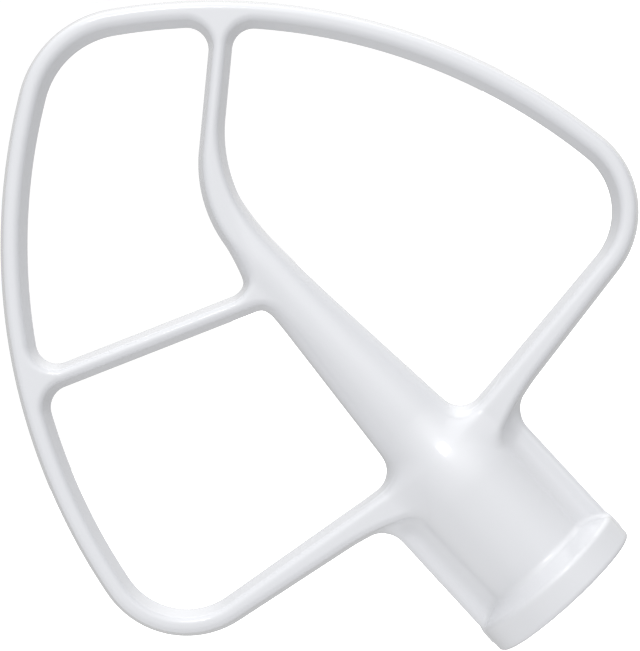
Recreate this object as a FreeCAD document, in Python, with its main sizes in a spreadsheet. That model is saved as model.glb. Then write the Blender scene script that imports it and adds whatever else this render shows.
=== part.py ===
import FreeCAD, Part
import math
import os
import Sketcher

# Flat beater, one casting. Origin at the centre of the hub mouth, +Z out of the mouth, front towards -Y.
Vec = FreeCAD.Vector
doc = FreeCAD.newDocument("flat_beater")

# Driving sizes, in millimetres and degrees. A drop is measured down from the mouth.
SIZES = (
    ("overall_length", 139.7, "mouth to tip"),
    ("overall_width", 125.0, "across the shoulders of the rim"),
    ("tip_radius", 20.7, "outside of the rim at the tip"),
    ("side_radius", 115.0, "outside of the rim along its sides"),
    ("shoulder_radius", 17.8, "outside of the rim at its shoulders"),
    ("shoulder_drop", 54.6, "centre of the shoulder arcs"),
    ("rim_width", 5.0, "seen from the front"),
    ("frame_depth", 11.0, "rim, arms and ribs, front to back"),
    ("draft_angle", 14.0, "each way from the parting plane"),
    ("edge_bevel", 0.5, "front and back edges of the frame"),
    ("rim_corner_radius", 4.0, "window corners at the rim"),
    ("arm_corner_radius", 8.0, "window corners under the arms, sunk into the column"),
    ("arm_slope", 9.6, "mouth side of the arms"),
    ("arm_under_slope", 7.5, "tip side of the arms"),
    ("arm_crown_radius", 20.0, "where the two arms meet inside the hub"),
    ("cross_rib_drop", 76.5, "where its middle line meets the axis"),
    ("cross_rib_slope", 21.3, "down towards the rim"),
    ("cross_rib_width", 4.25, "seen from the front"),
    ("cross_rib_blend", 4.0, "window corners at its root"),
    ("cross_rib_root_sink", 0.3, "how far its upper root corner ends under the spine skin"),
    ("branch_left", 4.2, "axis to the left edge where the branch starts"),
    ("branch_right", 2.8, "axis to the right edge where the branch starts"),
    ("branch_knee_drop", 98.8, "where the two left edge lines would meet"),
    ("branch_angle", 48.2, "lower branch, away from the axis"),
    ("branch_width", 4.33, "lower branch, seen from the front"),
    ("branch_left_radius", 27.6, "bend of the left edge"),
    ("branch_right_radius", 25.5, "bend of the right edge"),
    ("web_width", 31.4, "side webs, edge to edge"),
    ("web_thickness", 5.6, "side webs, front to back"),
    ("web_edge_radius", 1.4, "upright edges of the side webs"),
    ("barrel_diameter", 22.4, "round part of the hub under the collar"),
    ("barrel_length", 26.5, "mouth to where the neck starts"),
    ("neck_radius", 24.0, "bend from the barrel into the neck, in profile"),
    ("hub_blend", 2.6, "root radius of the webs on the column"),
    ("spine_top_drop", 43.0, "where the round neck ends"),
    ("spine_top_width", 15.4, "where the round neck ends"),
    ("spine_taper", 4.9, "each side, at the top of the spine"),
    ("spine_straight_drop", 82.75, "where its straight taper ends"),
    ("spine_end_drop", 96.0, "where the spine has sunk into the branch"),
    ("spine_end_width", 6.2, "its straight taper carried to the end"),
    ("spine_end_depth", 11.4, "its straight taper carried to the end"),
    ("spine_end_sink", 1.3, "how far its end lies under that taper, all round"),
    ("spine_end_lean", 2.6, "side shift of its end towards the branch"),
    ("collar_diameter", 31.8, "ring at the mouth"),
    ("collar_height", 5.4, "straight part of the ring"),
    ("collar_root_drop", 8.2, "where its underside reaches the barrel"),
    ("collar_root_sink", 0.4, "how far its underside ends below the barrel skin"),
    ("mouth_bevel", 0.8, "outer edge of the mouth"),
    ("shaft_diameter", 15.9, "mixer shaft that the bore takes"),
    ("shaft_clearance", 0.05, "all round the shaft"),
    ("bore_depth", 32.0, "blind"),
    ("bore_chamfer", 0.5, "lead-in at the mouth"),
    ("pin_diameter", 5.0, "drive pin across the shaft"),
    ("pin_clearance", 0.2, "each side of the pin"),
    ("slot_depth", 19.0, "mouth to the foot of the pin slot"),
    ("slot_turn", 41.0, "twist from the channel to the pin seat"),
    ("seat_rise", 3.0, "how far the pin seat turns back up"),
    ("seat_angle", 33.0, "width of the pin seat around the axis"),
)
BORE_DIAMETER = "(Sizes.shaft_diameter + 2 * Sizes.shaft_clearance)"
SLOT_WIDTH = "(Sizes.pin_diameter + 2 * Sizes.pin_clearance)"
sheet = doc.addObject("Spreadsheet::Sheet", "Sizes")
for row, (alias, value, note) in enumerate(SIZES, 1):
    sheet.set(f"A{row}", note)
    sheet.set(f"B{row}", str(value))
    sheet.setAlias(f"B{row}", alias)
doc.recompute()


def size(alias):
    return float(getattr(sheet, alias))


def arm_edge_drop(radius, slope):
    """Expression for the drop of a long edge of the arms, at the outer edges of the webs."""
    reach = "(Sizes.overall_width / 2 - Sizes.shoulder_radius - Sizes.web_width / 2)"
    return f"(Sizes.shoulder_drop - {radius} / cos({slope} * 1 deg) - {reach} * tan({slope} * 1 deg))"


def across_spine(end_size, drop):
    """Expression for a size across the spine where its straight taper passes a drop."""
    share = f"({drop} - Sizes.spine_top_drop) / (Sizes.spine_end_drop - Sizes.spine_top_drop)"
    return f"(Sizes.spine_top_width + {share} * ({end_size} - Sizes.spine_top_width))"


body = doc.addObject("PartDesign::Body", "flat_beater")
body.Label = "flat_beater"


def origin(role):
    return next(item for item in body.Origin.OriginFeatures if item.Role == role)


def sketch_on(role, name, height=None, turn=0.0):
    """A sketch on an origin plane, lifted by an expression and turned about its own normal."""
    sketch = body.newObject("Sketcher::SketchObject", name)
    sketch.AttachmentSupport = [(origin(role), "")]
    sketch.MapMode = "FlatFace"
    sketch.AttachmentOffset = FreeCAD.Placement(Vec(), FreeCAD.Rotation(Vec(0, 0, 1), turn))
    if height:
        sketch.setExpression("AttachmentOffset.Base.z", height)
    return sketch


def dimension(sketch, expression, kind, *where):
    """A sketch dimension that is bound to the sheet."""
    value = float(sketch.evalExpression(expression))
    start = math.radians(value) if kind == "Angle" else value
    index = sketch.addConstraint(Sketcher.Constraint(kind, *where, start))
    sketch.setExpression(f"Constraints[{index}]", expression)


def relate(sketch, kind, *where):
    return sketch.addConstraint(Sketcher.Constraint(kind, *where))


def bind(feature, **expressions):
    for name, expression in expressions.items():
        feature.setExpression(name, expression)


def settle(feature):
    doc.recompute()
    bad = {"Invalid", "Error"} & set(feature.State)
    if bad or feature.Shape.isNull() or not feature.Shape.isValid():
        raise RuntimeError(f"{feature.Name} did not build")
    return feature


# Plane geometry for the first positions in the sketches
def mirrored(point):
    return Vec(-point.x, point.y, 0)


def heading(degrees):
    return Vec(math.cos(math.radians(degrees)), math.sin(math.radians(degrees)), 0)


def meet_circles(first, first_radius, second, second_radius):
    """The meeting point of two circles that lies further to the left."""
    gap = second - first
    along = (first_radius**2 - second_radius**2 + gap.Length**2) / (2 * gap.Length)
    across = math.sqrt(first_radius**2 - along**2)
    unit = gap / gap.Length
    foot = first + unit * along
    side = Vec(-unit.y, unit.x, 0) * across
    return min((foot + side, foot - side), key=lambda point: point.x)


class Ray:
    """A straight line by a point and a heading; positive shifts go to its left."""

    def __init__(self, point, direction):
        self.point = point
        self.direction = direction
        self.left = Vec(-direction.y, direction.x, 0)

    def shifted(self, distance):
        return Ray(self.point + self.left * distance, self.direction)

    def foot(self, point):
        return self.point + self.direction * (point - self.point).dot(self.direction)

    def meet(self, other):
        reach = (other.point - self.point).dot(other.left) / self.direction.dot(other.left)
        return self.point + self.direction * reach

    def meet_circle(self, centre, radius):
        """The meeting point with a circle that lies ahead."""
        foot = self.foot(centre)
        half = math.sqrt(radius**2 - (centre - foot).Length ** 2)
        return foot + self.direction * half


class Loop:
    """A chain of tangent lines and arcs in a sketch."""

    def __init__(self, sketch):
        self.sketch = sketch
        self.items = []

    def line(self, start, end):
        index = self.sketch.addGeometry(Part.LineSegment(start, end), False)
        self.items.append((index, 1, 2))
        return index

    def arc(self, centre, start, end, turns_left=True):
        first, last = (start, end) if turns_left else (end, start)
        angles = [math.atan2(point.y - centre.y, point.x - centre.x) for point in (first, last)]
        circle = Part.Circle(centre, Vec(0, 0, 1), (start - centre).Length)
        index = self.sketch.addGeometry(Part.ArcOfCircle(circle, *angles), False)
        self.items.append((index, 1, 2) if turns_left else (index, 2, 1))
        return index

    def join(self):
        for (one, _, leaving), (two, entering, _) in zip(self.items, self.items[1:]):
            relate(self.sketch, "Tangent", one, leaving, two, entering)

    def close(self):
        self.join()
        (two, entering, _), (one, _, leaving) = self.items[0], self.items[-1]
        relate(self.sketch, "Tangent", one, leaving, two, entering)


def polygon(sketch, points):
    """A closed chain of straight lines."""
    ends = points[1:] + points[:1]
    lines = [sketch.addGeometry(Part.LineSegment(start, end), False) for start, end in zip(points, ends)]
    for one, two in zip(lines, lines[1:] + lines[:1]):
        relate(sketch, "Coincident", one, 2, two, 1)
    return lines


def point_at(sketch, point):
    return sketch.addGeometry(Part.Point(point), True)


# Key points shared by the outline and the windows
rim_width = size("rim_width")
tip_centre = Vec(0, size("tip_radius") - size("overall_length"), 0)
shoulder_centre = Vec(size("overall_width") / 2 - size("shoulder_radius"), -size("shoulder_drop"), 0)
side_centre = meet_circles(
    tip_centre,
    size("side_radius") - size("tip_radius"),
    shoulder_centre,
    size("side_radius") - size("shoulder_radius"),
)
to_tip = (tip_centre - side_centre).normalize()
to_shoulder = (shoulder_centre - side_centre).normalize()
ORIGIN = (-1, 1)
LEVEL = (-1,)
UPRIGHT = (-2,)


def place_shoulder(sketch, arc):
    dimension(sketch, "Sizes.overall_width / 2 - Sizes.shoulder_radius", "DistanceX", *ORIGIN, arc, 3)
    dimension(sketch, "Sizes.shoulder_drop", "DistanceY", arc, 3, *ORIGIN)


def place_tip(sketch, arc):
    relate(sketch, "PointOnObject", arc, 3, *UPRIGHT)
    dimension(sketch, "Sizes.overall_length - Sizes.tip_radius", "DistanceY", arc, 3, *ORIGIN)


# Frame outline: rim and arms as one drafted plate
outline = sketch_on("XZ_Plane", "outline")
up = heading(90 - size("arm_slope"))
side_start = tip_centre + to_tip * size("tip_radius")
side_end = shoulder_centre + to_shoulder * size("shoulder_radius")
arm_start = shoulder_centre + up * size("shoulder_radius")
arm_line = Ray(arm_start, heading(180 - size("arm_slope")))
crown_centre = arm_line.shifted(size("arm_crown_radius")).meet(Ray(Vec(), Vec(0, 1, 0)))
crown_start = arm_line.foot(crown_centre)
loop = Loop(outline)
tip = loop.arc(tip_centre, mirrored(side_start), side_start)
side = loop.arc(side_centre, side_start, side_end)
shoulder = loop.arc(shoulder_centre, side_end, arm_start)
arm = loop.line(arm_start, crown_start)
crown = loop.arc(crown_centre, crown_start, mirrored(crown_start))
loop.line(mirrored(crown_start), mirrored(arm_start))
left_shoulder = loop.arc(mirrored(shoulder_centre), mirrored(arm_start), mirrored(side_end))
left_side = loop.arc(mirrored(side_centre), mirrored(side_end), mirrored(side_start))
loop.close()
relate(outline, "Equal", side, left_side)
relate(outline, "Equal", shoulder, left_shoulder)
relate(outline, "Symmetric", shoulder, 3, left_shoulder, 3, *UPRIGHT)
relate(outline, "PointOnObject", crown, 3, *UPRIGHT)
place_tip(outline, tip)
place_shoulder(outline, shoulder)
dimension(outline, "Sizes.tip_radius", "Radius", tip)
dimension(outline, "Sizes.side_radius", "Radius", side)
dimension(outline, "Sizes.shoulder_radius", "Radius", shoulder)
dimension(outline, "Sizes.arm_crown_radius", "Radius", crown)
dimension(outline, "180 - Sizes.arm_slope", "Angle", arm)
doc.recompute()

plate = body.newObject("PartDesign::Pad", "plate")
plate.Profile = outline
plate.SideType = "Symmetric"
bind(plate, Length="Sizes.frame_depth", TaperAngle="-Sizes.draft_angle")
settle(plate)

# Three windows, which leave the rim, the arms, the cross rib and the branch
windows = sketch_on("XZ_Plane", "windows")
corner = size("rim_corner_radius")
armpit = size("arm_corner_radius")
rib_root = size("cross_rib_blend")
inner_side = size("side_radius") - rim_width
inner_shoulder = size("shoulder_radius") - rim_width
inner_tip = size("tip_radius") - rim_width
left_side_centre = mirrored(side_centre)


def on_side(centre, point):
    return centre + (point - centre).normalize() * inner_side


tip_end = tip_centre + to_tip * inner_tip
shoulder_start = shoulder_centre + to_shoulder * inner_shoulder
shoulder_end = shoulder_centre + heading(90 - size("arm_under_slope")) * inner_shoulder
under_arm = Ray(shoulder_end, heading(180 - size("arm_under_slope")))
left_under_arm = Ray(mirrored(shoulder_end), heading(size("arm_under_slope")))
rib = Ray(Vec(0, -size("cross_rib_drop"), 0), heading(-size("cross_rib_slope")))
rib_top = rib.shifted(size("cross_rib_width") / 2)
rib_foot = rib.shifted(-size("cross_rib_width") / 2)
right_edge = Ray(Vec(size("branch_right"), 0, 0), Vec(0, -1, 0))
spine_at_rib = across_spine("Sizes.spine_end_width", "Sizes.cross_rib_drop")
root_side = f"{spine_at_rib} / 2 - Sizes.cross_rib_root_sink"
column_high = Vec(size("branch_right"), -size("spine_top_drop"), 0)
column_low = Vec(float(windows.evalExpression(root_side)), -size("cross_rib_drop"), 0)
column_edge = Ray(column_high, (column_low - column_high).normalize())
left_edge = Ray(Vec(-size("branch_left"), 0, 0), Vec(0, -1, 0))
knee_point = Vec(-size("branch_left"), -size("branch_knee_drop"), 0)
branch_left = Ray(knee_point, heading(-90 - size("branch_angle")))
branch_right = branch_left.shifted(size("branch_width"))

# Right window: shoulder, arm, column, cross rib, rim
arm_corner = under_arm.shifted(armpit).meet(column_edge.shifted(armpit))
rib_corner = rib_top.shifted(rib_root).meet(column_edge.shifted(rib_root))
rim_corner = rib_top.shifted(corner).meet_circle(side_centre, inner_side - corner)
loop = Loop(windows)
right_shoulder = loop.arc(shoulder_centre, shoulder_start, shoulder_end)
right_arm = loop.line(shoulder_end, under_arm.foot(arm_corner))
right_arm_corner = loop.arc(arm_corner, under_arm.foot(arm_corner), column_edge.foot(arm_corner))
right_column = loop.line(column_edge.foot(arm_corner), column_edge.foot(rib_corner))
right_rib_corner = loop.arc(rib_corner, column_edge.foot(rib_corner), rib_top.foot(rib_corner))
right_rib = loop.line(rib_top.foot(rib_corner), rib_top.foot(rim_corner))
right_rim_corner = loop.arc(rim_corner, rib_top.foot(rim_corner), on_side(side_centre, rim_corner))
right_side = loop.arc(side_centre, on_side(side_centre, rim_corner), shoulder_start)
loop.close()

# Tip window: tip, right side, cross rib, branch, left side
low_rim_corner = rib_foot.shifted(-corner).meet_circle(side_centre, inner_side - corner)
low_rib_corner = rib_foot.shifted(-rib_root).meet(right_edge.shifted(rib_root))
bend_radius = size("branch_right_radius")
bend = right_edge.shifted(-bend_radius).meet(branch_right.shifted(-bend_radius))
foot_corner = branch_right.shifted(corner).meet_circle(left_side_centre, inner_side - corner)
loop = Loop(windows)
low_tip = loop.arc(tip_centre, mirrored(tip_end), tip_end)
low_side = loop.arc(side_centre, tip_end, on_side(side_centre, low_rim_corner))
low_corner = loop.arc(low_rim_corner, on_side(side_centre, low_rim_corner), rib_foot.foot(low_rim_corner))
low_rib = loop.line(rib_foot.foot(low_rim_corner), rib_foot.foot(low_rib_corner))
low_rib_root = loop.arc(low_rib_corner, rib_foot.foot(low_rib_corner), right_edge.foot(low_rib_corner))
low_column = loop.line(right_edge.foot(low_rib_corner), right_edge.foot(bend))
low_bend = loop.arc(bend, right_edge.foot(bend), branch_right.foot(bend), False)
low_branch = loop.line(branch_right.foot(bend), branch_right.foot(foot_corner))
low_foot = loop.arc(foot_corner, branch_right.foot(foot_corner), on_side(left_side_centre, foot_corner))
low_left_side = loop.arc(left_side_centre, on_side(left_side_centre, foot_corner), mirrored(tip_end))
loop.close()

# Left window: shoulder, rim, branch, column, arm
high_corner = branch_left.shifted(-corner).meet_circle(left_side_centre, inner_side - corner)
bend_radius = size("branch_left_radius")
high_bend = left_edge.shifted(-bend_radius).meet(branch_left.shifted(-bend_radius))
left_arm_corner = left_under_arm.shifted(-armpit).meet(left_edge.shifted(-armpit))
loop = Loop(windows)
high_shoulder = loop.arc(mirrored(shoulder_centre), mirrored(shoulder_end), mirrored(shoulder_start))
high_side = loop.arc(left_side_centre, mirrored(shoulder_start), on_side(left_side_centre, high_corner))
high_foot = loop.arc(high_corner, on_side(left_side_centre, high_corner), branch_left.foot(high_corner))
high_branch = loop.line(branch_left.foot(high_corner), branch_left.foot(high_bend))
high_turn = loop.arc(high_bend, branch_left.foot(high_bend), left_edge.foot(high_bend))
high_column = loop.line(left_edge.foot(high_bend), left_edge.foot(left_arm_corner))
high_arm_end = left_under_arm.foot(left_arm_corner)
high_arm_corner = loop.arc(left_arm_corner, left_edge.foot(left_arm_corner), high_arm_end)
high_arm = loop.line(high_arm_end, mirrored(shoulder_end))
loop.close()

# What ties the windows to the sheet
rib_point = point_at(windows, rib.point)
high_point = point_at(windows, column_high)
low_point = point_at(windows, column_low)
relate(windows, "PointOnObject", rib_point, 1, *UPRIGHT)
dimension(windows, "Sizes.cross_rib_drop", "DistanceY", rib_point, 1, *ORIGIN)
dimension(windows, "Sizes.branch_right", "DistanceX", *ORIGIN, high_point, 1)
dimension(windows, "Sizes.spine_top_drop", "DistanceY", high_point, 1, *ORIGIN)
dimension(windows, root_side, "DistanceX", *ORIGIN, low_point, 1)
dimension(windows, "Sizes.cross_rib_drop", "DistanceY", low_point, 1, *ORIGIN)
knee = point_at(windows, knee_point)
dimension(windows, "Sizes.branch_left", "DistanceX", knee, 1, *ORIGIN)
dimension(windows, "Sizes.branch_knee_drop", "DistanceY", knee, 1, *ORIGIN)
place_tip(windows, low_tip)
place_shoulder(windows, right_shoulder)
relate(windows, "Symmetric", right_shoulder, 3, high_shoulder, 3, *UPRIGHT)
relate(windows, "Coincident", right_side, 3, low_side, 3)
relate(windows, "Coincident", high_side, 3, low_left_side, 3)
relate(windows, "Equal", right_shoulder, high_shoulder)
for arc in (low_side, low_left_side, high_side):
    relate(windows, "Equal", right_side, arc)
for arc in (low_corner, low_foot, high_foot):
    relate(windows, "Equal", right_rim_corner, arc)
relate(windows, "Equal", right_arm_corner, high_arm_corner)
relate(windows, "Equal", right_rib_corner, low_rib_root)
for line in (low_column, high_column):
    relate(windows, "Vertical", line)
relate(windows, "Parallel", right_rib, low_rib)
relate(windows, "Parallel", high_branch, low_branch)
relate(windows, "PointOnObject", high_point, 1, right_column)
relate(windows, "PointOnObject", low_point, 1, right_column)
relate(windows, "PointOnObject", knee, 1, high_branch)
relate(windows, "PointOnObject", knee, 1, high_column)
dimension(windows, "Sizes.tip_radius - Sizes.rim_width", "Radius", low_tip)
dimension(windows, "Sizes.side_radius - Sizes.rim_width", "Radius", right_side)
dimension(windows, "Sizes.shoulder_radius - Sizes.rim_width", "Radius", right_shoulder)
dimension(windows, "Sizes.rim_corner_radius", "Radius", right_rim_corner)
dimension(windows, "Sizes.arm_corner_radius", "Radius", right_arm_corner)
dimension(windows, "Sizes.cross_rib_blend", "Radius", right_rib_corner)
dimension(windows, "Sizes.branch_right_radius", "Radius", low_bend)
dimension(windows, "Sizes.branch_left_radius", "Radius", high_turn)
dimension(windows, "180 - Sizes.arm_under_slope", "Angle", right_arm)
dimension(windows, "Sizes.arm_under_slope - 180", "Angle", high_arm)
dimension(windows, "-Sizes.cross_rib_slope", "Angle", right_rib)
dimension(windows, "-90 - Sizes.branch_angle", "Angle", low_branch)
dimension(windows, "Sizes.cross_rib_width / 2", "Distance", rib_point, 1, right_rib)
dimension(windows, "Sizes.cross_rib_width / 2", "Distance", rib_point, 1, low_rib)
dimension(windows, "Sizes.branch_width", "Distance", knee, 1, low_branch)
dimension(windows, "Sizes.branch_right", "DistanceX", *ORIGIN, low_column, 1)
doc.recompute()

frame = body.newObject("PartDesign::Pocket", "window_cut")
frame.Profile = windows
frame.SideType = "Symmetric"
bind(frame, Length="Sizes.frame_depth", TaperAngle="Sizes.draft_angle")
settle(frame)

# Finding edges by where they lie, and dressing them
TOUCH = 0.002


def lies_on(skin, point):
    return skin.distToShape(Part.Vertex(point))[0] < TOUCH


def edges_where(shape, wanted):
    """Names of the edges of which the points, taken together, meet a test."""
    return [f"Edge{index}" for index, edge in enumerate(shape.Edges, 1) if wanted(edge.discretize(5))]


def added_skin(feature):
    """The skin of what one feature added, in the body's own frame."""
    skin = Part.Compound(feature.AddSubShape.Shells)
    skin.Placement = feature.Placement
    return skin


def joint_edges(shape, features, wanted):
    """Names of the edges where what several features added meets."""
    skins = [added_skin(feature) for feature in features]

    def on_all(points):
        return wanted(points) and all(lies_on(skin, point) for skin in skins for point in points)

    return edges_where(shape, on_all)


def dress(kind, name, base, edges, **expressions):
    """A fillet or chamfer on named edges."""
    feature = body.newObject(f"PartDesign::{kind}", name)
    feature.Base = (base, edges)
    bind(feature, **expressions)
    return settle(feature)


# Bevelled front and back edges of the whole frame
half_depth = size("frame_depth") / 2


def on_faces(points):
    return all(abs(abs(point.y) - half_depth) < TOUCH for point in points)


frame_edges = edges_where(frame.Shape, on_faces)
dress("Chamfer", "frame_bevel", frame, frame_edges, Size="Sizes.edge_bevel")

# Hub column: barrel, neck and the top of the spine, all round
column_profile = sketch_on("YZ_Plane", "column_profile")
barrel_radius = size("barrel_diameter") / 2
spine_radius = size("spine_top_width") / 2
neck_radius = size("neck_radius")
column_top = -size("collar_height") / 2

# The hollow of the neck leaves the bulge and lands on the top of the spine along its taper
barrel_foot = Vec(barrel_radius, -size("barrel_length"), 0)
spine_top = Vec(spine_radius, -size("spine_top_drop"), 0)
bulge_centre = barrel_foot - Vec(neck_radius, 0, 0)
outward = heading(-size("spine_taper"))
gap = spine_top - bulge_centre
hollow_radius = (gap.dot(gap) - neck_radius**2) / (2 * (neck_radius - outward.dot(gap)))
hollow_centre = spine_top + outward * hollow_radius
neck_middle = bulge_centre + (hollow_centre - bulge_centre).normalize() * neck_radius
taper_end = Ray(spine_top, heading(-90 - size("spine_taper"))).meet(Ray(Vec(), Vec(0, 1, 0)))
chain = Loop(column_profile)
wall = chain.line(Vec(barrel_radius, column_top, 0), barrel_foot)
bulge = chain.arc(bulge_centre, barrel_foot, neck_middle, False)
hollow = chain.arc(hollow_centre, neck_middle, spine_top)
taper_line = chain.line(spine_top, taper_end)
column_profile.setConstruction(taper_line, True)
chain.join()
foot_line = column_profile.addGeometry(Part.LineSegment(spine_top, Vec(0, spine_top.y, 0)), False)
axis_line = column_profile.addGeometry(Part.LineSegment(Vec(0, spine_top.y, 0), Vec(0, column_top, 0)), False)
top_line = column_profile.addGeometry(
    Part.LineSegment(Vec(0, column_top, 0), Vec(barrel_radius, column_top, 0)), False
)
relate(column_profile, "Coincident", taper_line, 1, foot_line, 1)
relate(column_profile, "PointOnObject", taper_line, 2, *UPRIGHT)
for one, two in ((foot_line, axis_line), (axis_line, top_line), (top_line, wall)):
    relate(column_profile, "Coincident", one, 2, two, 1)
relate(column_profile, "PointOnObject", axis_line, 1, *UPRIGHT)
relate(column_profile, "PointOnObject", axis_line, 2, *UPRIGHT)
relate(column_profile, "Horizontal", foot_line)
relate(column_profile, "Horizontal", top_line)
relate(column_profile, "Vertical", wall)
dimension(column_profile, "Sizes.barrel_diameter / 2", "DistanceX", *ORIGIN, wall, 2)
dimension(column_profile, "Sizes.barrel_length", "DistanceY", wall, 2, *ORIGIN)
dimension(column_profile, "Sizes.collar_height / 2", "DistanceY", wall, 1, *ORIGIN)
dimension(column_profile, "Sizes.spine_top_width / 2", "DistanceX", *ORIGIN, foot_line, 1)
dimension(column_profile, "Sizes.spine_top_drop", "DistanceY", foot_line, 1, *ORIGIN)
dimension(column_profile, "Sizes.neck_radius", "Radius", bulge)
dimension(column_profile, "-90 - Sizes.spine_taper", "Angle", taper_line)
doc.recompute()
column = body.newObject("PartDesign::Revolution", "column")
column.Profile = column_profile
column.ReferenceAxis = (column_profile, ["V_Axis"])
settle(column)

# Side webs from the collar down to the middle of the arms
arm_top = arm_edge_drop("Sizes.shoulder_radius", "Sizes.arm_slope")
arm_foot = arm_edge_drop("(Sizes.shoulder_radius - Sizes.rim_width)", "Sizes.arm_under_slope")
web_foot = f"({arm_top} + {arm_foot}) / 2"
web_section = sketch_on("XY_Plane", "web_section", f"-{web_foot}")
web_edge = size("web_edge_radius")
flat_x = size("web_width") / 2 - web_edge
flat_y = size("web_thickness") / 2 - web_edge
corners = [Vec(flat_x, flat_y, 0), Vec(-flat_x, flat_y, 0), Vec(-flat_x, -flat_y, 0), Vec(flat_x, -flat_y, 0)]
loop = Loop(web_section)
rounds = []
flats = []
for quarter, centre in enumerate(corners):
    start = heading(90 * quarter) * web_edge
    end = heading(90 * quarter + 90) * web_edge
    rounds.append(loop.arc(centre, centre + start, centre + end))
    flats.append(loop.line(centre + end, corners[(quarter + 1) % len(corners)] + end))
loop.close()
back, left, front, right = flats
for arc in rounds[1:]:
    relate(web_section, "Equal", rounds[0], arc)
relate(web_section, "Horizontal", back)
relate(web_section, "Horizontal", front)
relate(web_section, "Vertical", left)
relate(web_section, "Vertical", right)
relate(web_section, "Symmetric", rounds[0], 3, rounds[2], 3, *ORIGIN)
dimension(web_section, "Sizes.web_edge_radius", "Radius", rounds[0])
dimension(web_section, "Sizes.web_width", "Distance", left, 1, right)
dimension(web_section, "Sizes.web_thickness", "Distance", back, 1, front)
doc.recompute()
webs = body.newObject("PartDesign::Pad", "webs")
webs.Profile = web_section
bind(webs, Length=f"{web_foot} - Sizes.collar_height / 2")
settle(webs)


# Blend where the webs leave the column
def between_column_ends(points):
    heights = [point.z for point in points]
    return min(heights) < column_top - TOUCH and max(heights) > spine_top.y + TOUCH


hub_edges = joint_edges(webs.Shape, (column, webs), between_column_ends)
dress("Fillet", "hub_blend", webs, hub_edges, Radius="Sizes.hub_blend")

# Lower spine, deeper than wide towards the branch
spine_circle = sketch_on("XY_Plane", "spine_circle", "-Sizes.spine_top_drop", turn=90.0)
circle = spine_circle.addGeometry(Part.Circle(Vec(), Vec(0, 0, 1), spine_radius), False)
relate(spine_circle, "Coincident", circle, 3, *ORIGIN)
dimension(spine_circle, "Sizes.spine_top_width", "Diameter", circle)


def spine_section(name, drop, sink, lean):
    """An ellipse across the spine at a drop, sunk under the straight taper and shifted towards the branch."""
    width = f"{across_spine('Sizes.spine_end_width', drop)} - 2 * {sink}"
    depth = f"{across_spine('Sizes.spine_end_depth', drop)} - 2 * {sink}"
    sketch = sketch_on("XY_Plane", name, f"-{drop}")
    half_width = float(sketch.evalExpression(width)) / 2
    half_length = float(sketch.evalExpression(depth)) / 2
    centre = Vec(-float(sketch.evalExpression(lean)), 0, 0)
    ellipse = Part.Ellipse(centre + Vec(0, half_length, 0), centre + Vec(half_width, 0, 0), centre)
    index = sketch.addGeometry(ellipse, False)
    sketch.exposeInternalGeometry(index)
    long_axis, short_axis = index + 1, index + 2
    relate(sketch, "Vertical", long_axis)
    relate(sketch, "PointOnObject", index, 3, *LEVEL)
    dimension(sketch, lean, "DistanceX", index, 3, *ORIGIN)
    dimension(sketch, depth, "Distance", long_axis)
    dimension(sketch, width, "Distance", short_axis)
    return sketch


straight_end = spine_section("spine_straight_end", "Sizes.spine_straight_drop", "0", "0")
sunk_end = spine_section(
    "spine_sunk_end", "Sizes.spine_end_drop", "Sizes.spine_end_sink", "Sizes.spine_end_lean"
)
doc.recompute()
spine = body.newObject("PartDesign::AdditiveLoft", "spine")
spine.Profile = spine_circle
spine.Sections = [straight_end, sunk_end]
spine.Ruled = True
settle(spine)

# Collar ring at the mouth, with a sloping underside
collar_profile = sketch_on("YZ_Plane", "collar_profile")
collar_radius = size("collar_diameter") / 2
mouth_bevel = size("mouth_bevel")
root = Vec(barrel_radius - size("collar_root_sink"), -size("collar_root_drop"), 0)
collar_points = (
    Vec(),
    Vec(collar_radius - mouth_bevel, 0, 0),
    Vec(collar_radius, -mouth_bevel, 0),
    Vec(collar_radius, -size("collar_height"), 0),
    root,
    Vec(0, root.y, 0),
)
mouth, bevel, ring, under, floor, core = polygon(collar_profile, collar_points)
relate(collar_profile, "Coincident", mouth, 1, *ORIGIN)
relate(collar_profile, "Horizontal", mouth)
relate(collar_profile, "Vertical", ring)
relate(collar_profile, "Horizontal", floor)
relate(collar_profile, "PointOnObject", core, 1, *UPRIGHT)
dimension(collar_profile, "Sizes.mouth_bevel", "DistanceX", bevel, 1, bevel, 2)
dimension(collar_profile, "Sizes.mouth_bevel", "DistanceY", bevel, 2, *ORIGIN)
dimension(collar_profile, "Sizes.collar_diameter / 2", "DistanceX", *ORIGIN, ring, 2)
dimension(collar_profile, "Sizes.collar_height", "DistanceY", ring, 2, *ORIGIN)
root_radius = "Sizes.barrel_diameter / 2 - Sizes.collar_root_sink"
dimension(collar_profile, root_radius, "DistanceX", *ORIGIN, under, 2)
dimension(collar_profile, "Sizes.collar_root_drop", "DistanceY", under, 2, *ORIGIN)
doc.recompute()
collar = body.newObject("PartDesign::Revolution", "collar")
collar.Profile = collar_profile
collar.ReferenceAxis = (collar_profile, ["V_Axis"])
settle(collar)

# Blind bore for the mixer shaft
bore_circle = sketch_on("XY_Plane", "bore_circle")
bore_radius = size("shaft_diameter") / 2 + size("shaft_clearance")
circle = bore_circle.addGeometry(Part.Circle(Vec(), Vec(0, 0, 1), bore_radius), False)
relate(bore_circle, "Coincident", circle, 3, *ORIGIN)
dimension(bore_circle, BORE_DIAMETER, "Diameter", circle)
doc.recompute()
bore = body.newObject("PartDesign::Pocket", "bore")
bore.Profile = bore_circle
bind(bore, Length="Sizes.bore_depth")
settle(bore)


def around_bore_mouth(points):
    off_wall = [abs(math.hypot(point.x, point.y) - bore_radius) for point in points]
    return max(off_wall) < TOUCH and all(abs(point.z) < TOUCH for point in points)


mouth_edges = edges_where(bore.Shape, around_bore_mouth)
lead_in = dress("Chamfer", "bore_lead_in", bore, mouth_edges, Size="Sizes.bore_chamfer")

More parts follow.
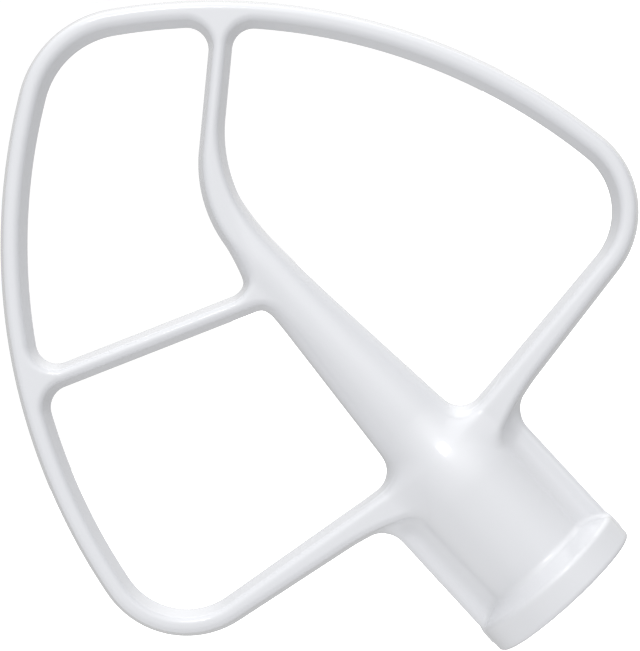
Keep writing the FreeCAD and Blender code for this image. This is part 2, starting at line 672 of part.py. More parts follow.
# Pin slot through the back wall: a channel down, a turn, and a seat that rises again
channel_outline = sketch_on("XY_Plane", "channel_outline")
half_slot = size("pin_diameter") / 2 + size("pin_clearance")
reach = size("collar_diameter") / 2 + size("mouth_bevel")


def rectangle(sketch, low, high):
    """A rectangle with sides along the sketch axes; its bottom, right, top and left lines."""
    lines = polygon(sketch, (low, Vec(high.x, low.y, 0), high, Vec(low.x, high.y, 0)))
    for line, kind in zip(lines, ("Horizontal", "Vertical", "Horizontal", "Vertical")):
        relate(sketch, kind, line)
    return lines


bottom, right, top, left = rectangle(channel_outline, Vec(-half_slot, 0, 0), Vec(half_slot, reach, 0))
relate(channel_outline, "Symmetric", bottom, 1, bottom, 2, *ORIGIN)
dimension(channel_outline, SLOT_WIDTH, "Distance", bottom)
dimension(channel_outline, "Sizes.collar_diameter / 2 + Sizes.mouth_bevel", "Distance", right)
doc.recompute()
channel = body.newObject("PartDesign::Pocket", "slot_channel")
channel.Profile = channel_outline
bind(channel, Length="Sizes.slot_depth")
settle(channel)


def slot_sweep(name, height, turn, angle):
    """A cut swept around the axis through the wall, as high as the expression, up from the slot's foot."""
    sketch = sketch_on("YZ_Plane", f"{name}_outline")
    if turn:
        sketch.AttachmentOffset = FreeCAD.Placement(Vec(), FreeCAD.Rotation(Vec(0, -1, 0), size("slot_turn")))
        sketch.setExpression("AttachmentOffset.Rotation.Angle", turn)
    foot = -size("slot_depth")
    low = Vec(bore_radius / 2, foot, 0)
    high = Vec(reach, foot + float(sketch.evalExpression(height)), 0)
    bottom, right, _, _ = rectangle(sketch, low, high)
    dimension(sketch, f"{BORE_DIAMETER} / 4", "DistanceX", *ORIGIN, bottom, 1)
    dimension(sketch, "Sizes.slot_depth", "DistanceY", bottom, 1, *ORIGIN)
    dimension(sketch, "Sizes.collar_diameter / 2 + Sizes.mouth_bevel", "DistanceX", *ORIGIN, bottom, 2)
    dimension(sketch, height, "Distance", right)
    doc.recompute()
    cut = body.newObject("PartDesign::Groove", name)
    cut.Profile = sketch
    cut.ReferenceAxis = (sketch, ["V_Axis"])
    cut.Midplane = bool(turn)
    cut.Reversed = not turn
    bind(cut, Angle=angle)
    return settle(cut)


turn = slot_sweep("slot_turn", SLOT_WIDTH, "", "Sizes.slot_turn + Sizes.seat_angle / 2")
seat = slot_sweep("pin_seat", f"{SLOT_WIDTH} + Sizes.seat_rise", "Sizes.slot_turn", "Sizes.seat_angle")
for before, after in ((lead_in, channel), (channel, turn), (turn, seat)):
    if after.Shape.Volume > before.Shape.Volume - 1:
        raise RuntimeError(f"{after.Name} cut nothing")

# Final state and export
for item in doc.Objects:
    if {"Invalid", "Error"} & set(item.State):
        raise RuntimeError(f"{item.Name} is in a bad state")
if body.Shape.isNull() or not body.Shape.isValid() or len(body.Shape.Solids) != 1:
    raise RuntimeError("the beater is not one sound solid")
os.makedirs("parts", exist_ok=True)
body.Shape.exportStep(f"parts/{body.Label}.step")
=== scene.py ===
import cmath
import itertools
import math

import bmesh
import bpy
import numpy as np
from mathutils import Matrix, Vector


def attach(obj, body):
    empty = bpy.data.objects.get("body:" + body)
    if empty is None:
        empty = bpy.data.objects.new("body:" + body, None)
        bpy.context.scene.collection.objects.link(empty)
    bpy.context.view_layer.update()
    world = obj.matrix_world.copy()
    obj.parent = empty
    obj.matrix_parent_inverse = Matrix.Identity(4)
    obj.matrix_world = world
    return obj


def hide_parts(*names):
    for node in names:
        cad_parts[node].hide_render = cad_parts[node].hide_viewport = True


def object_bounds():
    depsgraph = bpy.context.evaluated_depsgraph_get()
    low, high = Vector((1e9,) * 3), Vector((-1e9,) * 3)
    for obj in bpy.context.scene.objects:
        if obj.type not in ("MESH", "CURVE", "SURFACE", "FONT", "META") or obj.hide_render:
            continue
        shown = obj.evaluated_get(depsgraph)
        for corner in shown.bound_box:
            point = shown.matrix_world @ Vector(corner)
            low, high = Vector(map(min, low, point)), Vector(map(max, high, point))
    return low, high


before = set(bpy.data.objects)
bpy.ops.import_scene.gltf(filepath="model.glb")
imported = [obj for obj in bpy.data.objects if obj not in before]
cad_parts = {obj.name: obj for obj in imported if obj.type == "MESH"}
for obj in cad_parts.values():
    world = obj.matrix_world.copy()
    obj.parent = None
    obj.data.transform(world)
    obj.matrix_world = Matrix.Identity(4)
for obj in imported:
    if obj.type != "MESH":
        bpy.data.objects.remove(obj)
cad_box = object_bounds()

# Sizes in millimetres and degrees, as in the solid but for softer crests, roots and webs
LENGTH = 139.7
WIDTH = 125.0
TIP_RADIUS = 20.7
SIDE_RADIUS = 115.0
SHOULDER_RADIUS = 17.8
SHOULDER_DROP = 54.6
RIM_WIDTH = 5.0
HALF_DEPTH = 5.5
DRAFT = math.radians(14.0)
CREST_RADIUS = 1.3
RIDGE_RADIUS = 0.5
RIM_CORNER = 4.0
ARM_CORNER = 8.0
ARM_SLOPE = 9.6
ARM_UNDER_SLOPE = 7.5
ARM_CROWN = 20.0
RIB_DROP = 76.5
RIB_SLOPE = 21.3
RIB_WIDTH = 4.25
RIB_ROOT = 4.0
RIB_ROOT_SINK = 0.3
BRANCH_LEFT = 4.2
BRANCH_RIGHT = 2.8
BRANCH_KNEE_DROP = 98.8
BRANCH_ANGLE = 48.2
BRANCH_WIDTH = 4.33
BRANCH_LEFT_RADIUS = 27.6
BRANCH_RIGHT_RADIUS = 25.5

# Side webs, and the arms where they reach the hub
WEB_HALF_WIDTH = 15.7
WEB_HALF_THICKNESS = 2.8
WEB_HOLLOW = 1.2
WEB_EDGE = 1.4
WEB_BLEND = 3.4
HUB_BLEND = 2.6
ARM_REACH = 24.0
ARM_SWELL = 1.8
ARM_BLEND = 4.0

# Column: barrel, neck and spine
BARREL_RADIUS = 11.2
BARREL_LENGTH = 26.5
NECK_RADIUS = 24.0
SPINE_TOP_DROP = 43.0
SPINE_TOP_RADIUS = 7.7
SPINE_TAPER = math.radians(4.9)
SPINE_STRAIGHT_DROP = 82.75
SPINE_END_DROP = 96.0
SPINE_END_HALF_WIDTH = 3.1
SPINE_END_HALF_DEPTH = 5.7
SPINE_END_SINK = 1.3
SPINE_END_LEAN = 2.6
SPINE_BLEND = 1.2

# Collar, bore and pin slot
COLLAR_RADIUS = 15.9
COLLAR_HEIGHT = 5.4
COLLAR_ROOT_DROP = 8.2
COLLAR_ROOT_RADIUS = 10.8
COLLAR_BLEND = 0.8
MOUTH_EDGE = 0.8
BORE_RADIUS = 8.0
BORE_DEPTH = 32.0
CUT_EDGE = 0.5
SLOT_HALF_WIDTH = 2.7
SLOT_DEPTH = 19.0
SLOT_TURN = 41.0
SEAT_RISE = 3.0
SEAT_ANGLE = 33.0


# Plane figures: a point is a complex number, across plus up times i
def heading(degrees):
    """Unit step at an angle from straight across."""
    return cmath.exp(1j * math.radians(degrees))


def mirrored(point):
    """The same place on the other side of the axis."""
    return complex(-point.real, point.imag)


class Ray:
    """A straight line by a point and a heading; positive shifts go to its left."""

    def __init__(self, point, direction):
        self.point = point
        self.direction = direction

    def shifted(self, distance):
        return Ray(self.point + 1j * self.direction * distance, self.direction)

    def foot(self, point):
        """The nearest point on the line."""
        return self.point + self.direction * ((point - self.point) / self.direction).real

    def meet(self, other):
        """The meeting point with another line."""
        turn = self.direction / other.direction
        return self.point - self.direction * ((self.point - other.point) / other.direction).imag / turn.imag

    def meet_circle(self, centre, radius):
        """The meeting point with a circle that lies ahead."""
        foot = self.foot(centre)
        return foot + self.direction * math.sqrt(radius**2 - abs(centre - foot) ** 2)

    def above(self, point):
        """How far points lie to the left of the line."""
        return ((point - self.point) / self.direction).imag


class Loop:
    """A closed chain of tangent lines and arcs that runs with its inside on the left."""

    def __init__(self):
        self.items = []

    def line(self, start, end):
        self.items.append((None, start, end, True))

    def arc(self, centre, start, end, turns_left=True):
        self.items.append((centre, start, end, turns_left))

    def away(self, point):
        """Distance from the chain, negative inside."""
        nearest = np.full(point.shape, np.inf)
        result = np.zeros(point.shape)
        for centre, start, end, turns_left in self.items:
            if centre is None:
                local = (point - start) / (end - start)
                beside = (local.real >= 0) & (local.real <= 1)
                offset = -local.imag * abs(end - start)
            else:
                first, last = (start, end) if turns_left else (end, start)
                sweep = cmath.phase((last - centre) / (first - centre)) % (2 * math.pi)
                middle = (first - centre) * cmath.exp(0.5j * sweep)
                beside = np.abs(np.angle((point - centre) / middle)) <= sweep / 2
                offset = np.abs(point - centre) - abs(first - centre)
                offset = offset if turns_left else -offset
            to_ends = np.minimum(np.abs(point - start), np.abs(point - end))
            distance = np.where(beside, np.abs(offset), to_ends)
            result = np.where(distance < nearest, np.copysign(distance, offset), result)
            nearest = np.minimum(nearest, distance)
        return result


def meet_circles(first, first_radius, second, second_radius):
    """The meeting point of two circles that lies further to the left."""
    gap = second - first
    along = (first_radius**2 - second_radius**2 + abs(gap) ** 2) / (2 * abs(gap))
    across = math.sqrt(first_radius**2 - along**2)
    points = [first + gap / abs(gap) * (along + 1j * side * across) for side in (1, -1)]
    return min(points, key=lambda point: point.real)


# Outline of the rim and the arms
tip_centre = 1j * (TIP_RADIUS - LENGTH)
shoulder_centre = WIDTH / 2 - SHOULDER_RADIUS - 1j * SHOULDER_DROP
side_centre = meet_circles(
    tip_centre, SIDE_RADIUS - TIP_RADIUS, shoulder_centre, SIDE_RADIUS - SHOULDER_RADIUS
)
left_side_centre = mirrored(side_centre)
to_tip = (tip_centre - side_centre) / abs(tip_centre - side_centre)
to_shoulder = (shoulder_centre - side_centre) / abs(shoulder_centre - side_centre)
side_start = tip_centre + to_tip * TIP_RADIUS
side_end = shoulder_centre + to_shoulder * SHOULDER_RADIUS
arm_start = shoulder_centre + heading(90 - ARM_SLOPE) * SHOULDER_RADIUS
arm_top = Ray(arm_start, heading(180 - ARM_SLOPE))
crown_centre = arm_top.shifted(ARM_CROWN).meet(Ray(0j, 1j))
crown_start = arm_top.foot(crown_centre)
outline = Loop()
outline.arc(tip_centre, mirrored(side_start), side_start)
outline.arc(side_centre, side_start, side_end)
outline.arc(shoulder_centre, side_end, arm_start)
outline.line(arm_start, crown_start)
outline.arc(crown_centre, crown_start, mirrored(crown_start))
outline.line(mirrored(crown_start), mirrored(arm_start))
outline.arc(mirrored(shoulder_centre), mirrored(arm_start), mirrored(side_end))
outline.arc(left_side_centre, mirrored(side_end), mirrored(side_start))

# Lines and arcs that bound the three windows
inner_side = SIDE_RADIUS - RIM_WIDTH
inner_shoulder = SHOULDER_RADIUS - RIM_WIDTH
tip_end = tip_centre + to_tip * (TIP_RADIUS - RIM_WIDTH)
shoulder_start = shoulder_centre + to_shoulder * inner_shoulder
shoulder_end = shoulder_centre + heading(90 - ARM_UNDER_SLOPE) * inner_shoulder
under_arm = Ray(shoulder_end, heading(180 - ARM_UNDER_SLOPE))
left_under_arm = Ray(mirrored(shoulder_end), heading(ARM_UNDER_SLOPE))
rib = Ray(-1j * RIB_DROP, heading(-RIB_SLOPE))
rib_top = rib.shifted(RIB_WIDTH / 2)
rib_foot = rib.shifted(-RIB_WIDTH / 2)
right_edge = Ray(complex(BRANCH_RIGHT), -1j)
rib_share = (RIB_DROP - SPINE_TOP_DROP) / (SPINE_END_DROP - SPINE_TOP_DROP)
spine_at_rib = SPINE_TOP_RADIUS + rib_share * (SPINE_END_HALF_WIDTH - SPINE_TOP_RADIUS)
column_high = BRANCH_RIGHT - 1j * SPINE_TOP_DROP
column_low = spine_at_rib - RIB_ROOT_SINK - 1j * RIB_DROP
column_edge = Ray(column_high, (column_low - column_high) / abs(column_low - column_high))
left_edge = Ray(complex(-BRANCH_LEFT), -1j)
branch_left = Ray(-BRANCH_LEFT - 1j * BRANCH_KNEE_DROP, heading(-90 - BRANCH_ANGLE))
branch_right = branch_left.shifted(BRANCH_WIDTH)


def on_side(centre, point):
    """Where the way from a side arc's centre through a point meets the rim's inner edge."""
    return centre + (point - centre) / abs(point - centre) * inner_side


# Right window: shoulder, arm, column, cross rib, rim
arm_corner = under_arm.shifted(ARM_CORNER).meet(column_edge.shifted(ARM_CORNER))
rib_corner = rib_top.shifted(RIB_ROOT).meet(column_edge.shifted(RIB_ROOT))
rim_corner = rib_top.shifted(RIM_CORNER).meet_circle(side_centre, inner_side - RIM_CORNER)
right_window = Loop()
right_window.arc(shoulder_centre, shoulder_start, shoulder_end)
right_window.line(shoulder_end, under_arm.foot(arm_corner))
right_window.arc(arm_corner, under_arm.foot(arm_corner), column_edge.foot(arm_corner))
right_window.line(column_edge.foot(arm_corner), column_edge.foot(rib_corner))
right_window.arc(rib_corner, column_edge.foot(rib_corner), rib_top.foot(rib_corner))
right_window.line(rib_top.foot(rib_corner), rib_top.foot(rim_corner))
right_window.arc(rim_corner, rib_top.foot(rim_corner), on_side(side_centre, rim_corner))
right_window.arc(side_centre, on_side(side_centre, rim_corner), shoulder_start)

# Tip window: tip, right side, cross rib, branch, left side
low_rim_corner = rib_foot.shifted(-RIM_CORNER).meet_circle(side_centre, inner_side - RIM_CORNER)
low_rib_corner = rib_foot.shifted(-RIB_ROOT).meet(right_edge.shifted(RIB_ROOT))
bend = right_edge.shifted(-BRANCH_RIGHT_RADIUS).meet(branch_right.shifted(-BRANCH_RIGHT_RADIUS))
foot_corner = branch_right.shifted(RIM_CORNER).meet_circle(left_side_centre, inner_side - RIM_CORNER)
tip_window = Loop()
tip_window.arc(tip_centre, mirrored(tip_end), tip_end)
tip_window.arc(side_centre, tip_end, on_side(side_centre, low_rim_corner))
tip_window.arc(low_rim_corner, on_side(side_centre, low_rim_corner), rib_foot.foot(low_rim_corner))
tip_window.line(rib_foot.foot(low_rim_corner), rib_foot.foot(low_rib_corner))
tip_window.arc(low_rib_corner, rib_foot.foot(low_rib_corner), right_edge.foot(low_rib_corner))
tip_window.line(right_edge.foot(low_rib_corner), right_edge.foot(bend))
tip_window.arc(bend, right_edge.foot(bend), branch_right.foot(bend), False)
tip_window.line(branch_right.foot(bend), branch_right.foot(foot_corner))
tip_window.arc(foot_corner, branch_right.foot(foot_corner), on_side(left_side_centre, foot_corner))
tip_window.arc(left_side_centre, on_side(left_side_centre, foot_corner), mirrored(tip_end))

# Left window: shoulder, rim, branch, column, arm
high_corner = branch_left.shifted(-RIM_CORNER).meet_circle(left_side_centre, inner_side - RIM_CORNER)
high_bend = left_edge.shifted(-BRANCH_LEFT_RADIUS).meet(branch_left.shifted(-BRANCH_LEFT_RADIUS))
left_arm_corner = left_under_arm.shifted(-ARM_CORNER).meet(left_edge.shifted(-ARM_CORNER))
high_arm_end = left_under_arm.foot(left_arm_corner)
left_window = Loop()
left_window.arc(mirrored(shoulder_centre), mirrored(shoulder_end), mirrored(shoulder_start))
left_window.arc(left_side_centre, mirrored(shoulder_start), on_side(left_side_centre, high_corner))
left_window.arc(high_corner, on_side(left_side_centre, high_corner), branch_left.foot(high_corner))
left_window.line(branch_left.foot(high_corner), branch_left.foot(high_bend))
left_window.arc(high_bend, branch_left.foot(high_bend), left_edge.foot(high_bend))
left_window.line(left_edge.foot(high_bend), left_edge.foot(left_arm_corner))
left_window.arc(left_arm_corner, left_edge.foot(left_arm_corner), high_arm_end)
left_window.line(high_arm_end, mirrored(shoulder_end))


# Solids as distance fields, negative inside
TINY = 1e-6


def filleted(first, second, radius):
    """Both solids, with a hollow fillet where they meet."""
    corner = np.hypot(np.maximum(radius - first, 0), np.maximum(radius - second, 0))
    return np.maximum(radius, np.minimum(first, second)) - corner


def rounded(first, second, radius):
    """What two solids share, with its edge rounded off."""
    corner = np.hypot(np.maximum(radius + first, 0), np.maximum(radius + second, 0))
    return np.minimum(-radius, np.maximum(first, second)) + corner


def without(solid, cut, radius):
    """A solid less a cut, with the cut's edge rounded off."""
    return rounded(solid, -cut, radius)


# Section of the bars: how high their crests stand, and the half width that still has no flat on it
CREST_LIFT = math.hypot(HALF_DEPTH, RIDGE_RADIUS) - RIDGE_RADIUS
CREST_NARROWS = 1 / math.sin(DRAFT) - 1
ROUND_HALF_WIDTH = math.tan(DRAFT) * (CREST_LIFT + CREST_RADIUS * CREST_NARROWS)


def bar(near, far, y):
    """Metal between two walls, with draft from a soft parting ridge up to a round crest on both faces."""
    half = (near + far) / 2
    flat = np.maximum(half - ROUND_HALF_WIDTH, 0)
    half = half - flat
    off = np.maximum(np.abs(far - near) / 2 - flat, 0)
    lift = np.sqrt(y**2 + RIDGE_RADIUS**2) - RIDGE_RADIUS
    crest = (half / math.tan(DRAFT) - CREST_LIFT) / CREST_NARROWS
    rise = lift - CREST_LIFT + crest
    flank = (off - half) * math.cos(DRAFT) + lift * math.sin(DRAFT)
    return np.where(rise > off * math.tan(DRAFT), np.hypot(off, rise) - crest, flank)


# Neck of the hub: a bulge under the barrel and a hollow that lands on the taper of the spine
LEAST_RADIUS = 1.0
spine_top = SPINE_TOP_RADIUS - 1j * SPINE_TOP_DROP
bulge_centre = BARREL_RADIUS - NECK_RADIUS - 1j * BARREL_LENGTH
outward = cmath.exp(-1j * SPINE_TAPER)
neck_gap = spine_top - bulge_centre
neck_reach = (neck_gap / outward).real
hollow_radius = (abs(neck_gap) ** 2 - NECK_RADIUS**2) / (2 * (NECK_RADIUS - neck_reach))
hollow_centre = spine_top + outward * hollow_radius
neck_middle = bulge_centre + (hollow_centre - bulge_centre) * NECK_RADIUS / (NECK_RADIUS + hollow_radius)


def neck_radius_at(z):
    """Radius of the round column, from the barrel down to where the spine starts."""
    bulge = bulge_centre.real + np.sqrt(np.maximum(NECK_RADIUS**2 - (z - bulge_centre.imag) ** 2, 0))
    hollow = hollow_centre.real - np.sqrt(np.maximum(hollow_radius**2 - (z - hollow_centre.imag) ** 2, 0))
    return np.select([z > -BARREL_LENGTH, z > neck_middle.imag], [BARREL_RADIUS, bulge], hollow)


def column_field(x, y, z):
    """Barrel, neck and spine; the spine turns oval and sinks into the branch."""
    part = np.clip((-z - SPINE_TOP_DROP) / (SPINE_END_DROP - SPINE_TOP_DROP), 0, None)
    end = np.interp(-z, (SPINE_STRAIGHT_DROP, SPINE_END_DROP), (0, 1))
    end = end**2 * (3 - 2 * end)
    sink = SPINE_END_SINK * end
    wide = SPINE_TOP_RADIUS + part * (SPINE_END_HALF_WIDTH - SPINE_TOP_RADIUS) - sink
    deep = SPINE_TOP_RADIUS + part * (SPINE_END_HALF_DEPTH - SPINE_TOP_RADIUS) - sink
    round_part = neck_radius_at(z)
    wide = np.maximum(np.where(part > 0, wide, round_part), LEAST_RADIUS)
    deep = np.maximum(np.where(part > 0, deep, round_part), LEAST_RADIUS)
    across = x + SPINE_END_LEAN * end
    share = np.sqrt((across / wide) ** 2 + (y / deep) ** 2) + TINY
    steep = np.sqrt((across / wide**2) ** 2 + (y / deep**2) ** 2) / share + TINY
    side = (share - 1) / steep
    return np.maximum(side, np.maximum(z + COLLAR_HEIGHT / 2, -SPINE_END_DROP - z))


def collar_field(x, y, z):
    """Ring at the mouth, with a sloping underside."""
    out = np.hypot(x, y)
    slope = complex(COLLAR_RADIUS - COLLAR_ROOT_RADIUS, COLLAR_ROOT_DROP - COLLAR_HEIGHT)
    slope = slope / abs(slope)
    under = (out - COLLAR_RADIUS) * slope.imag - (z + COLLAR_HEIGHT) * slope.real
    return rounded(rounded(out - COLLAR_RADIUS, z, MOUTH_EDGE), under, CUT_EDGE)


def slot_field(x, y, z):
    """Pin slot in the back wall: a channel down, a turn and a seat that rises again."""
    channel = np.maximum(np.maximum(np.abs(x) - SLOT_HALF_WIDTH, -y), -SLOT_DEPTH - z)
    far = heading(SLOT_TURN + SEAT_ANGLE / 2)
    near = heading(SLOT_TURN - SEAT_ANGLE / 2)
    past_far = x * far.real - y * far.imag
    before_near = y * near.imag - x * near.real
    turn_height = np.maximum(-SLOT_DEPTH - z, z + SLOT_DEPTH - 2 * SLOT_HALF_WIDTH)
    seat_height = np.maximum(-SLOT_DEPTH - z, z + SLOT_DEPTH - 2 * SLOT_HALF_WIDTH - SEAT_RISE)
    turn = np.maximum(np.maximum(turn_height, -x), past_far)
    seat = np.maximum(np.maximum(seat_height, past_far), before_near)
    return np.minimum(np.minimum(channel, turn), seat)


# Level inside the arms where the side webs end
web_side = Ray(complex(WEB_HALF_WIDTH), 1j)
web_foot = (web_side.meet(arm_top) + web_side.meet(under_arm)).imag / 2


def hub_field(x, y, z, column, rim):
    """Arms that swell at their roots and webs that thin towards them, blended onto the column."""
    half_plan = np.abs(x) + 1j * z
    over_arm = -arm_top.above(half_plan)
    under = -under_arm.above(half_plan)
    root = np.interp(np.abs(x), (BARREL_RADIUS, ARM_REACH), (1, 0))
    top = ARM_SWELL * root**2 - rim
    arms = bar(np.minimum(top, under), np.maximum(top, under), y)
    arms = np.maximum(arms, np.abs(x) - ARM_REACH)
    hollow = np.interp(-z, (COLLAR_ROOT_DROP, -web_foot), (0, WEB_HOLLOW))
    web = rounded(np.abs(x) - WEB_HALF_WIDTH, np.abs(y) - WEB_HALF_THICKNESS + hollow, WEB_EDGE)
    web = np.maximum(web, np.maximum(web_foot - z, z + COLLAR_HEIGHT / 2))
    blend = np.interp(over_arm, (-RIM_WIDTH, 0), (ARM_BLEND, HUB_BLEND))
    return filleted(filleted(web, arms, WEB_BLEND), column, blend)


def beater_field(x, y, z):
    """The whole casting."""
    plan = x + 1j * z
    rim = outline.away(plan)
    openings = [window.away(plan) for window in (right_window, tip_window, left_window)]
    near, far = np.sort(np.stack([-rim, *openings]), 0)[:2]
    plate = bar(near, far, y)
    column = column_field(x, y, z)
    solid = np.minimum(hub_field(x, y, z, column, rim), filleted(column, plate, SPINE_BLEND))
    solid = filleted(solid, collar_field(x, y, z), COLLAR_BLEND)
    bore = np.maximum(np.hypot(x, y) - BORE_RADIUS, -BORE_DEPTH - z)
    solid = without(solid, bore, CUT_EDGE)
    return without(solid, slot_field(x, y, z), CUT_EDGE)


# Even quads over the zero surface of a field
PITCH = 0.52
MARGIN = 1.5
ROUNDS = 3
CLOSE_REACH = 0.05
SOFT_REACH = 0.25
LEAST_STEEPNESS = 0.1
MM_PER_M = 1000
CORNERS = np.array([(i, j, k) for i in (0, 1) for j in (0, 1) for k in (0, 1)])
CORNER_PAIRS = itertools.combinations(range(len(CORNERS)), 2)
CELL_EDGES = [(a, b) for a, b in CORNER_PAIRS if np.abs(CORNERS[a] - CORNERS[b]).sum() == 1]


def surface_net(values, low):
    """One point in each crossed cell of a grid, and one quad around each crossed grid edge."""
    inside = values < 0
    cells = [count - 1 for count in values.shape]
    filled = np.zeros(cells, np.uint8)
    for corner in CORNERS:
        filled += inside[tuple(slice(start, start + count) for start, count in zip(corner, cells))]
    crossed = np.argwhere((filled > 0) & (filled < len(CORNERS)))
    number = np.full(cells, -1, np.int64)
    number[tuple(crossed.T)] = np.arange(len(crossed))
    levels = [values[tuple((crossed + corner).T)] for corner in CORNERS]
    total = np.zeros((len(crossed), 3))
    hits = np.zeros(len(crossed))
    for a, b in CELL_EDGES:
        cut = (levels[a] < 0) != (levels[b] < 0)
        share = np.where(cut, levels[a] / np.where(cut, levels[a] - levels[b], 1), 0)
        total += (CORNERS[a] + share[:, None] * (CORNERS[b] - CORNERS[a])) * cut[:, None]
        hits += cut
    points = low + PITCH * (crossed + total / hits[:, None])
    quads = []
    for axis in range(3):
        first = np.take(inside, range(values.shape[axis] - 1), axis)
        second = np.take(inside, range(1, values.shape[axis]), axis)
        starts = np.argwhere(first != second)
        u, v = np.eye(3, dtype=int)[[(axis + 1) % 3, (axis + 2) % 3]]
        ring = [starts, starts - u, starts - u - v, starts - v]
        around = np.stack([number[tuple(cell.T)] for cell in ring], 1)
        outward = first[tuple(starts.T)]
        quads.append(np.where(outward[:, None], around, around[:, ::-1]))
    return points, np.concatenate(quads)


def relaxed(points, quads):
    """Each point moved to the mean of its neighbours."""
    ends = np.concatenate([quads.ravel(), np.roll(quads, -1, 1).ravel()])
    others = np.concatenate([np.roll(quads, -1, 1).ravel(), quads.ravel()])
    count = np.bincount(ends, minlength=len(points))
    sums = [np.bincount(ends, points[others, k], len(points)) for k in range(3)]
    return np.stack(sums, 1) / count[:, None]


def slopes(points, reach):
    """Direction and steepness in which the field grows, felt over a reach to both sides."""
    steps = np.eye(3) * reach
    sides = [beater_field(*(points + step).T) - beater_field(*(points - step).T) for step in steps]
    return np.stack(sides, 1) / (2 * reach)


def settled(points):
    """Points moved straight onto the zero surface."""
    slope = slopes(points, CLOSE_REACH)
    length = beater_field(*points.T) / np.maximum((slope**2).sum(1), LEAST_STEEPNESS)
    return points - slope * np.clip(length, -PITCH, PITCH)[:, None]


low = np.array([-WIDTH / 2, -COLLAR_RADIUS, -LENGTH]) - MARGIN
high = np.array([WIDTH / 2, COLLAR_RADIUS, 0]) + MARGIN
axes = [np.arange(start, end, PITCH) for start, end in zip(low, high)]
grid = np.meshgrid(*axes, indexing="ij", sparse=True)
points, quads = surface_net(beater_field(*grid), low)
for _ in range(ROUNDS):
    points = settled(relaxed(points, quads))
points = settled(points)
normals = slopes(points, SOFT_REACH)
normals /= np.maximum(np.linalg.norm(normals, axis=1), TINY)[:, None]

# Mesh that stands for the solid
mesh = bpy.data.meshes.new("coated_beater")
mesh.from_pydata((points / MM_PER_M).tolist(), [], quads.tolist())
mesh.shade_smooth()
mesh.normals_split_custom_set_from_vertices(normals.tolist())
beater = bpy.data.objects.new("coated_beater", mesh)
bpy.context.collection.objects.link(beater)
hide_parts("flat_beater")
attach(beater, "root")

# Gloss white coat
TONES = ((0.71, 0.72, 0.75, 1), (0.72, 0.73, 0.76, 1))
TONE_SCALE = 25
ROUGHNESS = (0.22, 0.27)
ROUGHNESS_SCALE = 40
PEEL_SCALE = 650
NOISE_DETAIL = 2
NOISE_SPAN = (0.3, 0.7)
coat = bpy.data.materials.new("gloss_white_coat")
coat.use_nodes = True
nodes = coat.node_tree.nodes
links = coat.node_tree.links
shader = nodes["Principled BSDF"]
shader.inputs["IOR"].default_value = 1.5
shader.inputs["Coat Weight"].default_value = 1.0
shader.inputs["Coat Roughness"].default_value = 0.05
place = nodes.new("ShaderNodeTexCoord")


def noise(scale):
    """Soft noise that is fixed to the beater."""
    node = nodes.new("ShaderNodeTexNoise")
    node.inputs["Scale"].default_value = scale
    node.inputs["Detail"].default_value = NOISE_DETAIL
    links.new(place.outputs["Object"], node.inputs["Vector"])
    return node.outputs["Fac"]


tone = nodes.new("ShaderNodeMix")
tone.data_type = "RGBA"
for name, colour in zip("AB", TONES):
    tone.inputs[name].default_value = colour
links.new(noise(TONE_SCALE), tone.inputs["Factor"])
links.new(tone.outputs["Result"], shader.inputs["Base Color"])
gloss = nodes.new("ShaderNodeMapRange")
for name, value in zip(("From Min", "From Max", "To Min", "To Max"), NOISE_SPAN + ROUGHNESS):
    gloss.inputs[name].default_value = value
links.new(noise(ROUGHNESS_SCALE), gloss.inputs["Value"])
links.new(gloss.outputs["Result"], shader.inputs["Roughness"])
peel = nodes.new("ShaderNodeBump")
peel.inputs["Strength"].default_value = 0.12
peel.inputs["Distance"].default_value = 0.0001
links.new(noise(PEEL_SCALE), peel.inputs["Height"])
links.new(peel.outputs["Normal"], shader.inputs["Normal"])
mesh.materials.append(coat)

# Pale floor, and a white backdrop all round; both are only seen and do not light the beater
FLOOR_SIZE = 5.0
FLOOR_GAP = 0.001
BACKDROP_RADIUS = 3.0


def glowing(name, shade, roughness, strength):
    """A plain grey that gives off some white light of its own."""
    material = bpy.data.materials.new(name)
    material.use_nodes = True
    inputs = material.node_tree.nodes["Principled BSDF"].inputs
    inputs["Base Color"].default_value = (shade, shade, shade, 1)
    inputs["Roughness"].default_value = roughness
    inputs["Emission Color"].default_value = (1, 1, 1, 1)
    inputs["Emission Strength"].default_value = strength
    return material


half_floor = FLOOR_SIZE / 2
floor_z = cad_box[0].z - FLOOR_GAP
floor_signs = ((-1, -1), (1, -1), (1, 1), (-1, 1))
floor_mesh = bpy.data.meshes.new("floor")
floor_mesh.from_pydata(
    [(across * half_floor, along * half_floor, floor_z) for across, along in floor_signs],
    [],
    [(0, 1, 2, 3)],
)
floor_mesh.materials.append(glowing("pale_floor", shade=0.6, roughness=0.9, strength=0.6))
backdrop_mesh = bpy.data.meshes.new("backdrop")
shell = bmesh.new()
bmesh.ops.create_uvsphere(shell, u_segments=48, v_segments=24, radius=BACKDROP_RADIUS)
shell.to_mesh(backdrop_mesh)
shell.free()
backdrop_mesh.materials.append(glowing("white_backdrop", shade=0.9, roughness=0.5, strength=1.0))
for stage_mesh in (floor_mesh, backdrop_mesh):
    item = bpy.data.objects.new(stage_mesh.name, stage_mesh)
    bpy.context.collection.objects.link(item)
    item.visible_diffuse = False
    item.visible_glossy = False
    item.visible_shadow = False

# Soft studio light: a white tent with brighter panels, by their places in the photograph
PHOTO_ROLL = heading(137.3)
PHOTO_RIGHT = Vector((PHOTO_ROLL.real, 0, PHOTO_ROLL.imag))
PHOTO_UP = Vector((-PHOTO_ROLL.imag, 0, PHOTO_ROLL.real))
PHOTO_FRONT = Vector((0, -1, 0))
TENT_LIGHT = 0.51
GATHERING = 6.0
scene = bpy.context.scene
scene.view_settings.view_transform = "Standard"
world = bpy.data.worlds.new("studio")
world.use_nodes = True
tent = world.node_tree
outwards = tent.nodes.new("ShaderNodeTexCoord")


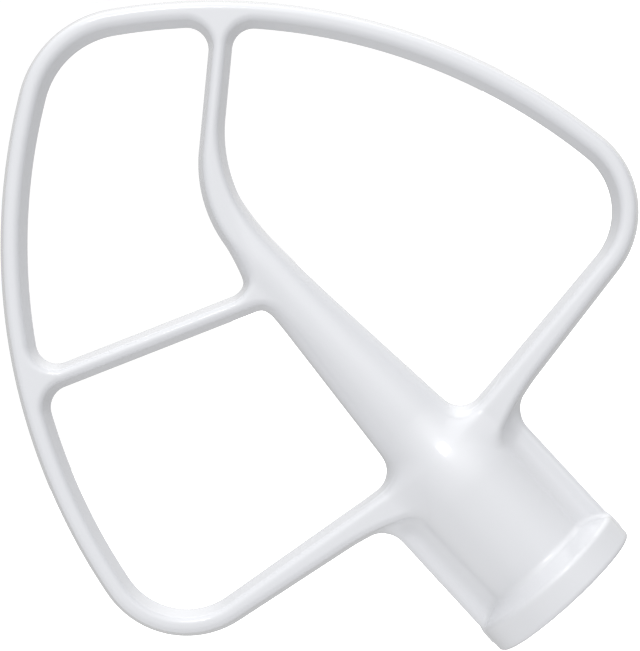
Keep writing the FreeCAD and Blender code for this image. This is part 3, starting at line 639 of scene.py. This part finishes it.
def direction(right, up, front):
    """Unit step in the photograph's own directions."""
    return (PHOTO_RIGHT * right + PHOTO_UP * up + PHOTO_FRONT * front).normalized()


def tent_math(operation, value, *numbers):
    """A math node on a value, with its other inputs set."""
    node = tent.nodes.new("ShaderNodeMath")
    node.operation = operation
    tent.links.new(value, node.inputs[0])
    for index, number in enumerate(numbers, 1):
        node.inputs[index].default_value = number
    return node


def panel(towards, strength, rest):
    """Light that gathers around a direction, on top of the rest or else of the even tent."""
    facing = tent.nodes.new("ShaderNodeVectorMath")
    facing.operation = "DOT_PRODUCT"
    facing.inputs[1].default_value = towards
    tent.links.new(outwards.outputs["Generated"], facing.inputs[0])
    ahead = tent_math("MAXIMUM", facing.outputs["Value"], 0)
    lobe = tent_math("POWER", ahead.outputs["Value"], GATHERING)
    total = tent_math("MULTIPLY_ADD", lobe.outputs["Value"], strength, TENT_LIGHT)
    if rest:
        tent.links.new(rest.outputs["Value"], total.inputs[2])
    return total


glow = panel(direction(-0.1, 1.0, -0.2), 1.25, None)
glow = panel(direction(-0.4, 0.8, 0.4), 0.75, glow)
glow = panel(direction(0.05, 0.6, 0.8), 1.1, glow)
glow = panel(direction(-0.35, -0.3, 0.9), 0.4, glow)
glow = panel(direction(-0.6, -0.8, -0.1), 0.5, glow)
glow = panel(direction(0.3, -0.95, 0.1), 0.6, glow)
glow = panel(direction(0.1, 0.6, -0.8), 0.5, glow)
tent.links.new(glow.outputs["Value"], tent.nodes["Background"].inputs["Strength"])
tent.nodes["Background"].inputs["Color"].default_value = (1, 1, 1, 1)
scene.world = world

# Small key light, whose reflection is the bright patch on the neck
KEY_AIM = Vector((0, 0, -0.05))
KEY_SIDE = Vector((-0.31, -0.795, -0.61)).normalized()
KEY_DISTANCE = 0.9
key_data = bpy.data.lights.new("key", "AREA")
key_data.shape = "RECTANGLE"
key_data.size = 0.3
key_data.size_y = 0.09
key_data.energy = 0.9
key = bpy.data.objects.new("key", key_data)
key.location = KEY_AIM + KEY_SIDE * KEY_DISTANCE
key.rotation_euler = (-KEY_SIDE).to_track_quat("-Z", "Y").to_euler()
bpy.context.collection.objects.link(key)

# Camera at the photograph's place: straight in front, rolled about its own axis
CAMERA_PLACE = Vector((-0.00022, -0.462, -0.067))
SENSOR = 36.0
FOCAL_PIXELS = 2500
PHOTO_PIXELS = 651
camera_data = bpy.data.cameras.new("camera")
camera_data.sensor_width = SENSOR
camera_data.lens = SENSOR * FOCAL_PIXELS / PHOTO_PIXELS
camera = bpy.data.objects.new("camera", camera_data)
facing_front = Matrix((PHOTO_RIGHT, PHOTO_UP, PHOTO_FRONT)).transposed().to_4x4()
camera.matrix_world = Matrix.Translation(CAMERA_PLACE) @ facing_front
bpy.context.collection.objects.link(camera)
scene.camera = camera
